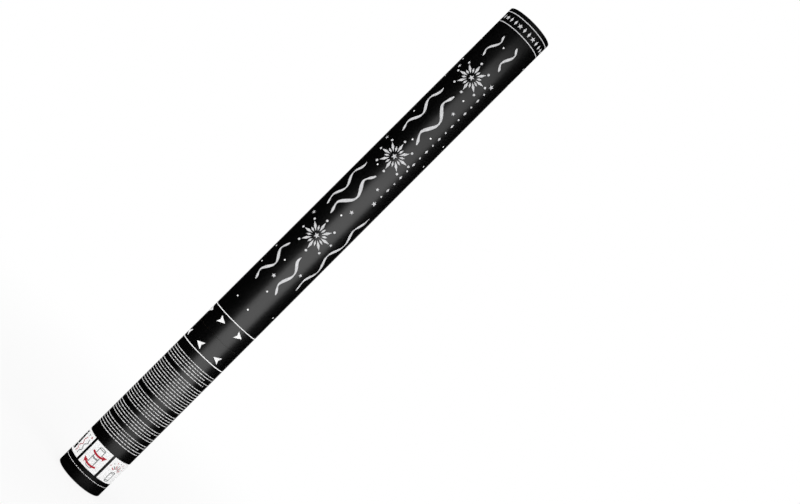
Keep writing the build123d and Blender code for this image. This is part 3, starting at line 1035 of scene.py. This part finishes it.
# %% [markdown]
# ## The silver ornament
# The long plain part of the barrel carries bursts, with wavy streamers rising between them, and small stars.
# A burst is a ring of lozenges round a star. A streamer is a wavy line whose width follows the wave, broad on
# the slopes and narrow at the turns, so that it looks like a twisted ribbon. The whole ornament stands on the
# front and again on the back.

# %% Bursts and streamers
silver_lines, ornament = [], []


def streamer(x0, y0, x1, y1, swing, waves, wide):
    """A wavy ribbon that looks twisted."""
    path = wave(x0, y0, x1, y1, swing, waves)
    last = len(path) - 1
    made = []
    for i, (x, y) in enumerate(path):
        ends = min(1.0, 0.3 + 9.0 * min(i, last - i) / last)
        made.append((x, y, wide * ends * (0.34 + 0.66 * abs(math.cos(2 * math.pi * waves * i / last)))))
    return made


def burst(across, up, inner, long, short, rays):
    """Pointed rays round a small star, every second one longer and tipped with a dot."""
    ornament.append(mark(STAR, across, up, inner * 1.3, inner * 1.3, SILVER, 18))
    for ray in range(rays):
        turn = 360 * ray / rays + 9
        angle = math.radians(turn)
        outer, wide = (short, 2.1) if ray % 2 else (long, 2.7)
        middle = around(across, up, (inner + outer) / 2, angle)
        ornament.append(mark(LOZENGE, *middle, outer - inner, wide, SILVER, turn))
        if not ray % 2:
            ornament.append(mark(DOT, *around(across, up, outer + 2.3, angle), 2.4, 2.4, SILVER))


print("ornament helpers ready")

# %% [markdown]
# ## Laying out the ornament
# The places are a plain table of distances across and up, read like a drawing: bursts up the middle, streamers
# between them, stars in the gaps, and one string of dots and lozenges. A random layout would be quicker, but
# only a chosen one keeps the calm rhythm of a printed label.

# %% Lay out the ornament
burst_places = ((-3.0, 316.0, 14.5), (-4.0, 419.0, 14.5), (-5.0, 522.0, 14.0))
streamer_places = (
    (9, 250, 2, 292, 3.4, 1.25, 2.8), (-9, 340, -3, 394, 4.6, 1.5, 3.2), (3, 441, -4, 498, 4.6, 1.5, 3.2),
    (-16, 248, -17, 294, 4.2, 1.5, 3.0), (22.5, 266, 24, 362, 3.6, 2.75, 3.0),
    (-19, 344, -21, 398, 3.4, 1.75, 2.8), (-17, 442, -19, 498, 3.8, 1.75, 3.0),
    (9, 544, 6, 572, 3.0, 1.0, 2.6), (-13, 545, -11, 572, 2.6, 1.0, 2.4),
)
star_places = (
    (15, 374.5, 5.6, 20), (15.6, 529.5, 5.6, 18), (-24, 330, 4.6, 0), (5, 354, 4.6, 30), (-26, 428, 4.4, 12),
    (7, 486, 4.2, 40), (-5, 262, 4.8, 25), (13.5, 279, 4.2, 8), (7, 386, 3.8, 55), (-25, 524, 4.4, 5),
)
string_count, string_start, string_long = 17, 384.0, 136.0
for side in (0.0, round_mm / 2):
    for x, y, long in burst_places:
        burst(side + x, y, 4.6, long, 0.7 * long, 16)
    for x0, y0, x1, y1, swing, waves, wide in streamer_places:
        silver_lines.append(streamer(side + x0, y0, side + x1, y1, swing, waves, wide))
    for x, y, wide, turn in star_places:
        ornament.append(mark(STAR, side + x, y, wide, wide, SILVER, turn))
    for k in range(string_count):
        share = k / (string_count - 1)
        place = side + 15.0 + 0.6 * share, string_start + string_long * share
        ornament.append(mark(LOZENGE, *place, 4.4, 2.4, SILVER, 90) if k % 2 else
                        mark(DOT, *place, 1.9, 1.9, SILVER))
print("ornament marks", len(ornament), "streamers", len(silver_lines))

# %% [markdown]
# ## Scattered dots
# White dots lie loosely over the barrel. A plain random scatter would clump and run into the ornament, so each
# new place is tried against everything that is already there, also across the seam at the back, and is kept
# only if it is clear. The seed is fixed, so the dots are always the same.

# %% Scattered dots
dot_count, dot_wide, dot_clear, dot_apart = 44, 1.7, 3.0, 17
scatter = random.Random(12)
taken = [(m.across, m.up, 0.5 * max(m.wide, m.tall)) for m in ornament]
taken += [(x, y, 1.5) for line in silver_lines for x, y, wide in line]
seams = (0.0, round_mm, -round_mm)
dots = []
while len(dots) < dot_count:
    x, y = scatter.uniform(-72.0, 72.0), scatter.uniform(214.0, 578.0)
    crowded = any(math.hypot(x - a + seam, y - b) < r + dot_clear for a, b, r in taken for seam in seams)
    if not crowded and all(math.hypot(x - a, y - b) > dot_apart for a, b in dots):
        dots.append((x, y))
barrel_marks += [mark(DOT, x, y, dot_wide, dot_wide, WHITE) for x, y in dots]
print("dots", len(dots))

# %% [markdown]
# ## Printing the barrel
# The barrel's marks and its silver streamers become two pieces, which ride on the barrel. When the barrel
# turns, its arrows turn with it and pass those of the handle, as they do in the hand.

# %% Print the barrel
barrel_print = print_marks("barrel_print", barrel_marks + ornament)
barrel_lines = print_lines("barrel_silver_lines", silver_lines, silver_ink)
for piece in (barrel_print, barrel_lines):
    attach(piece, "barrel")
print("barrel print faces", [len(p.data.polygons) for p in (barrel_print, barrel_lines)])

# %% [markdown]
# ## Plastics, rubber and metal
# Inside the tube and under it are moulded plastic, rubber and metal parts. The moulded ones and the rubber
# share one recipe: a body colour that drifts slightly, a fine moulded tooth, and gloss that varies. Turned
# metal has fine rings round its axis, so there the grain is squeezed along the tube. A photographed texture
# could give the same, but it stretches over round parts; noise in the object's own space doesn't.

# %% Moulded and turned finishes
def moulded_finish(name, dark, light, roughness, tooth_mm=0.6, specular=0.5):
    """A moulded surface with a fine tooth."""
    made, tree, shader = finish_start(name, roughness, specular=specular)
    gloss = grained(tree, 2.0, roughness - 0.07, roughness + 0.07)
    surface(tree, shader, between(tree, grained(tree, 7.0), dark, light), gloss, grained(tree, tooth_mm), 0.02)
    return made


def metal_finish(name, dark, light, roughness, ring_mm):
    """A turned surface with rings of one height."""
    made, tree, shader = finish_start(name, roughness, metallic=1.0)
    long_mm = 30.0
    squeeze = ring_mm / long_mm
    gloss = grained(tree, long_mm, roughness - 0.09, roughness + 0.09, squeeze)
    rings = grained(tree, long_mm, stretch=squeeze)
    surface(tree, shader, between(tree, grained(tree, 9.0), dark, light), gloss, rings, 0.006)
    return made


black_plastic = moulded_finish("black_plastic", (0.009, 0.009, 0.0095), (0.015, 0.015, 0.016), 0.5)
natural_plastic = moulded_finish("natural_plastic", (0.70, 0.69, 0.63), (0.78, 0.77, 0.72), 0.42)
grey_plastic = moulded_finish("grey_plastic", (0.17, 0.18, 0.19), (0.22, 0.23, 0.24), 0.42)
acetal = moulded_finish("acetal", (0.80, 0.80, 0.78), (0.87, 0.87, 0.85), 0.3, tooth_mm=0.3)
rubber = moulded_finish("rubber", (0.016, 0.016, 0.016), (0.034, 0.033, 0.032), 0.72, specular=0.3)
aluminium = metal_finish("aluminium", (0.68, 0.68, 0.69), (0.76, 0.76, 0.77), 0.3, 0.25)
steel = metal_finish("steel", (0.52, 0.52, 0.53), (0.62, 0.62, 0.63), 0.28, 0.4)
print("finishes", black_plastic.name, natural_plastic.name, grey_plastic.name, acetal.name, rubber.name,
      aluminium.name, steel.name)

# %% [markdown]
# ## Board and card
# The tubes are wound from grey-brown board: long fibres, darker specks, and a winding line on the bare inside.
# The lid and the wad behind the charge are pressed card, paler and with no winding. Two separate recipes would
# do, but most of their nodes would be the same, so one serves both, with the line as an option.

# %% Paper finishes
def paper_finish(name, dark, light, fleck, pitch_mm=0.0):
    """A fibrous surface with specks and, where there is a pitch, a winding line."""
    made, tree, shader = finish_start(name, 0.85, specular=0.2)
    fibre = grained(tree, 0.7, stretch=2.5)
    speck = flow(tree, "ShaderNodeClamp", {0: grained(tree, 0.9, -2.6, 0.8)})
    colour, height = between(tree, speck, between(tree, fibre, dark, light), fleck), fibre
    if pitch_mm:
        seam = wound(tree, pitch_mm, 0.9)
        colour = between(tree, seam, colour, [0.45 * v for v in dark])
        height = calc(tree, "SUBTRACT", fibre, seam)
    surface(tree, shader, colour, grained(tree, 1.0, 0.78, 0.92), height, 0.05)
    return made


board_tones = (0.36, 0.285, 0.205), (0.45, 0.365, 0.27), (0.27, 0.21, 0.15)
card_tones = (0.64, 0.62, 0.58), (0.74, 0.72, 0.68), (0.54, 0.52, 0.47)
board = paper_finish("wound_board", *board_tones, board_pitch_mm)
card = paper_finish("pressed_card", *card_tones)
print("paper finishes", board.name, card.name)

# %% [markdown]
# ## The base plug
# A moulded plug closes the foot of the tube. It has a cup wall inside, and under it a foot ring with a rounded
# edge, on which the tube stands. Bevelled cylinders could be joined for it, but on the lathe the whole section
# is one outline. The CAD box gives its radius and height; the finer steps are added here.

# %% Base plug
plug_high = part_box("base_plug")[1].z / mm
plug_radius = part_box("base_plug")[1].x / mm
plug_under, plug_floor, plug_wall, foot_wide, edge, chamfer = 0.8, 2.4, 1.6, 5.0, 0.4, 0.3
foot_inner, wall_inner = plug_radius - foot_wide, plug_radius - plug_wall
plug_outline = (
    [(0.0, plug_under), (foot_inner - chamfer, plug_under)]
    + arc(foot_inner + chamfer, chamfer, chamfer, chamfer, 180, 270, 4)
    + arc(plug_radius - edge, edge, edge, edge, 270, 360, 5)
    + [(plug_radius, plug_high - chamfer), (plug_radius - chamfer, plug_high), (wall_inner, plug_high)]
    + [(wall_inner, plug_floor + edge), (wall_inner - edge, plug_floor), (0.0, plug_floor)]
)
base_plug = turned("moulded_base_plug", plug_outline)
print("plug faces", len(base_plug.data.polygons))

# %% [markdown]
# ## The muzzle lid
# The muzzle is closed by a cup pressed from card, a little inside the rim, with a round step pressed into its
# top. Solidify could give a disc its thickness, but not the soft edges of pressed card. So the outline goes
# along the top, over the rounded edge, down the wall and back inside at the card's thickness.

# %% Muzzle lid
lid_low, lid_high = (corner.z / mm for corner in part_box("muzzle_lid"))
lid_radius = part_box("muzzle_lid")[1].x / mm
lid_step, lid_sheet, soft, top_edge = 1.0, 1.1, 0.5, 0.8
step_inner, step_outer, under_inner, under_outer = 15.9, 17.4, 16.2, 17.0
lid_floor, lid_under, lid_inner = lid_high - lid_step, lid_high - lid_sheet, lid_radius - lid_sheet
lid_outline = (
    [(0.0, lid_floor)]
    + arc(step_inner, lid_floor + soft, soft, soft, -90, -20, 4)
    + arc(step_outer, lid_high - soft, soft, soft, 160, 90, 4)
    + arc(lid_radius - top_edge, lid_high - top_edge, top_edge, top_edge, 90, 0, 6)
    + arc(lid_radius - soft, lid_low + soft, soft, soft, 0, -90, 4)
    + [(lid_inner, lid_low), (lid_inner, lid_under), (under_outer, lid_under)]
    + [(under_inner, lid_floor - lid_sheet), (0.0, lid_floor - lid_sheet)]
)
muzzle_lid = turned("pressed_card_lid", lid_outline)
print("lid faces", len(muzzle_lid.data.polygons))

# %% [markdown]
# ## Ribs under the plug
# Thin ribs run from the middle of the plug's underside to the foot ring, as on most moulded plugs. An Array
# modifier with a turned empty could repeat them. A tree needs no helper object: it makes one bar, puts a point
# for each rib at the middle, and turns every copy a step further, so their number is one value.

# %% Tree that makes the ribs
rib_tree, given = new_tree("plug_ribs", ["Inner", "Outer", "Thickness", "Low", "High"], ["Count"], ["Plastic"])
inner, outer, low, high = (given[label] for label in ("Inner", "Outer", "Low", "High"))
bar_size = joined(rib_tree, calc(rib_tree, "SUBTRACT", outer, inner), given["Thickness"],
                  calc(rib_tree, "SUBTRACT", high, low))
bar_place = joined(rib_tree, x=calc(rib_tree, "MULTIPLY", calc(rib_tree, "ADD", outer, inner), 0.5),
                   z=calc(rib_tree, "MULTIPLY", calc(rib_tree, "ADD", high, low), 0.5))
bar = flow(rib_tree, "GeometryNodeMeshCube", {"Size": bar_size})
bar = flow(rib_tree, "GeometryNodeTransform", {0: bar, "Translation": bar_place})
spots = flow(rib_tree, "GeometryNodeMeshLine", {"Count": given["Count"], "Offset": (0, 0, 0)})
step = calc(rib_tree, "DIVIDE", 2 * math.pi, given["Count"])
turn = calc(rib_tree, "MULTIPLY", flow(rib_tree, "GeometryNodeInputIndex"), step)
spokes = {"Points": spots, "Instance": bar, "Rotation": joined(rib_tree, z=turn)}
ribs = flow(rib_tree, "GeometryNodeInstanceOnPoints", spokes)
put_out(rib_tree, ribs, given["Plastic"])
print("nodes that make ribs", len(rib_tree.nodes))

# %% [markdown]
# ## Plug, ribs and lid in place
# The plug and its ribs belong to the handle, and the lid is a body of its own, since the charge pushes it out.
# The plug and the lid stand in for their CAD solids, which are then hidden; the ribs are added to the plug.

# %% Plug, ribs and lid ride in place
rib_sizes = {"Inner": 3.0, "Outer": plug_radius - 5.25, "Thickness": 1.0, "Low": 0.25, "High": 0.85}
rib_inputs = {label: size * mm for label, size in rib_sizes.items()}
plug_ribs = grow("plug_ribs", bpy.data.meshes.new("rib_start"), rib_tree,
                 {**rib_inputs, "Count": 8, "Plastic": black_plastic})
base_plug.data.materials.append(black_plastic)
muzzle_lid.data.materials.append(card)
for piece, body, slot in ((base_plug, "handle", "black_plastic"), (plug_ribs, "handle", "black_plastic"),
                          (muzzle_lid, "lid", "card")):
    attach(piece, body)
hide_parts("base_plug")
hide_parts("muzzle_lid")
print("rib faces", len(plug_ribs.data.polygons))

# %% [markdown]
# ## Silver foil
# The charge is metal foil on plastic ribbon. Foil is never flat: it breaks into small facets, and creases run
# between them. Each facet's tone is painted into the colour: a painted reflection of the light that the facet
# would catch at its own angle. A Voronoi texture gives both, the cell's colour for the painted tone and the
# distance for the crease. A mirror would show only the dark cloth, so the foil is half metal, half matt.

# %% Foil finish
foil, tree, shader = finish_start("silver_foil", 0.25, metallic=0.55)
facet_stretch, facet_scale = (1.0, 1.0, 0.45), 210.0
tall = flow(tree, "ShaderNodeVectorMath", {0: object_place(tree), 1: facet_stretch}, operation="MULTIPLY")
facets = put(tree, "ShaderNodeTexVoronoi", {"Vector": tall, "Scale": facet_scale}).outputs
# painted reflection: each cell's value brightens or darkens the facet's colour as if it caught the light, and
# also lifts the facet in the bump
facet_glint_and_height = flow(tree, "ShaderNodeSeparateColor", {0: facets["Color"]})
colour = between(tree, facet_glint_and_height, (0.66, 0.67, 0.69), (0.97, 0.97, 0.98))
creases = calc(tree, "ADD", calc(tree, "MULTIPLY", facets["Distance"], 0.8), facet_glint_and_height)
surface(tree, shader, colour, grained(tree, 1.5, 0.18, 0.32), creases, 0.25)
print("finish", foil.name)

# %% [markdown]
# ## Where the rolls lie
# The ribbon is wound into tight rolls, stacked in threes up the barrel. The CAD keeps each layer of three as
# plain solids, and the layer's box is enough to find them: three equal circles stand 120 degrees apart, and the
# box's reach along X and along Y gives the radius of their ring and of the rolls.

# %% Places of the rolls
layers = sorted(n for n in nodes if n.startswith("streamer_layer_"))
roll_places = []
for layer in layers:
    low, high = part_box(layer)
    reach, start = max((high.x, 0), (-low.x, 180))
    ring_radius = (reach - high.y) / (1 - math.sqrt(3) / 2)
    roll_radius = reach - ring_radius
    for k in range(3):
        angle = math.radians(start + 120 * k)
        roll_places.append((*around(0.0, 0.0, ring_radius, angle), (low.z + high.z) / 2))
print("roll radius in mm", round(roll_radius / mm, 2), "places", len(roll_places))

# %% [markdown]
# ## Winding the foil
# One roll is a flat spiral, swept into a thin upright ribbon. A tree winds it once and puts it on every place,
# each copy turned by a random angle with a fixed seed, so that the loose ends don't line up. Winding each roll
# by hand would give the same shape with fifty times the work.

# %% Tree that winds the rolls
roll_sizes = ["Core Radius", "Roll Radius", "Turns", "Width", "Foil"]
roll_tree, given = new_tree("foil_rolls", roll_sizes, ["Seed"], ["Silver"])
spiral = flow(roll_tree, "GeometryNodeCurveSpiral", {
    "Resolution": 20, "Rotations": given["Turns"], "Start Radius": given["Core Radius"],
    "End Radius": given["Roll Radius"], "Height": 0.0})
upright = flow(roll_tree, "GeometryNodeSetCurveNormal", {"Curve": spiral}, mode="Z_UP")
ribbon_size = {"Width": given["Foil"], "Height": given["Width"]}
ribbon = flow(roll_tree, "GeometryNodeCurvePrimitiveQuadrilateral", ribbon_size)
sweep = {"Curve": upright, "Profile Curve": ribbon, "Scale": 1.0, "Fill Caps": True}
roll_mesh = flow(roll_tree, "GeometryNodeCurveToMesh", sweep)
spin = put(roll_tree, "FunctionNodeRandomValue", {3: 2 * math.pi, "Seed": given["Seed"]}).outputs[1]
stack = {"Points": given["Geometry"], "Instance": roll_mesh, "Rotation": joined(roll_tree, z=spin)}
rolls = flow(roll_tree, "GeometryNodeInstanceOnPoints", stack)
put_out(roll_tree, rolls, given["Silver"])
print("nodes that wind rolls", len(roll_tree.nodes))

# %% [markdown]
# ## The rolls in the barrel
# The rolls ride with the charge and stand in for the CAD's layers. Each stays a hair smaller than its solid, so
# that neighbours never touch, and its ribbon is drawn thicker than real foil, or the windings would be lost.

# %% Rolls ride with the charge
roll_clear, core_radius, ribbon_wide, foil_thick = 0.12 * mm, 2.1 * mm, 19.6 * mm, 0.16 * mm
roll_starts = bpy.data.meshes.new("roll_places")
roll_starts.from_pydata(roll_places, [], [])
foil_rolls = grow("foil_rolls", roll_starts, roll_tree, {
    "Core Radius": core_radius, "Roll Radius": roll_radius - roll_clear, "Turns": 14.0, "Width": ribbon_wide,
    "Foil": foil_thick, "Seed": 5, "Silver": foil})
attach(foil_rolls, "charge")
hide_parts(*layers)
print("rolls", len(roll_places), "faces", len(foil_rolls.data.polygons))

# %% [markdown]
# ## Finishes for the solids that stay
# The two tubes, the gas cylinder with its valve and the parts of the release are already right in shape, and
# they show only when the popper is open. Remodelling them would gain nothing, so they keep their CAD meshes and
# get a finish, by the material slot that the record names for each.

# %% Dress the remaining solids
by_slot = {"board": board, "natural_plastic": natural_plastic, "grey_plastic": grey_plastic, "acetal": acetal,
           "aluminium": aluminium, "rubber": rubber, "steel": steel, "card": card}
dressed = []
for part in frame["record"]["subparts"]:
    node = nodes[part["node"]]
    if not node.hide_render:
        node.data.materials.clear()
        node.data.materials.append(by_slot[part["material_slot"]])
        dressed.append(node.name)
print("dressed", len(dressed), dressed)

# %% [markdown]
# ## The end
# Dressing must not change the part's size. The last line updates the view layer, so that every new piece
# stands at its place in the frame.

# %% Update the frame
bpy.context.view_layer.update()
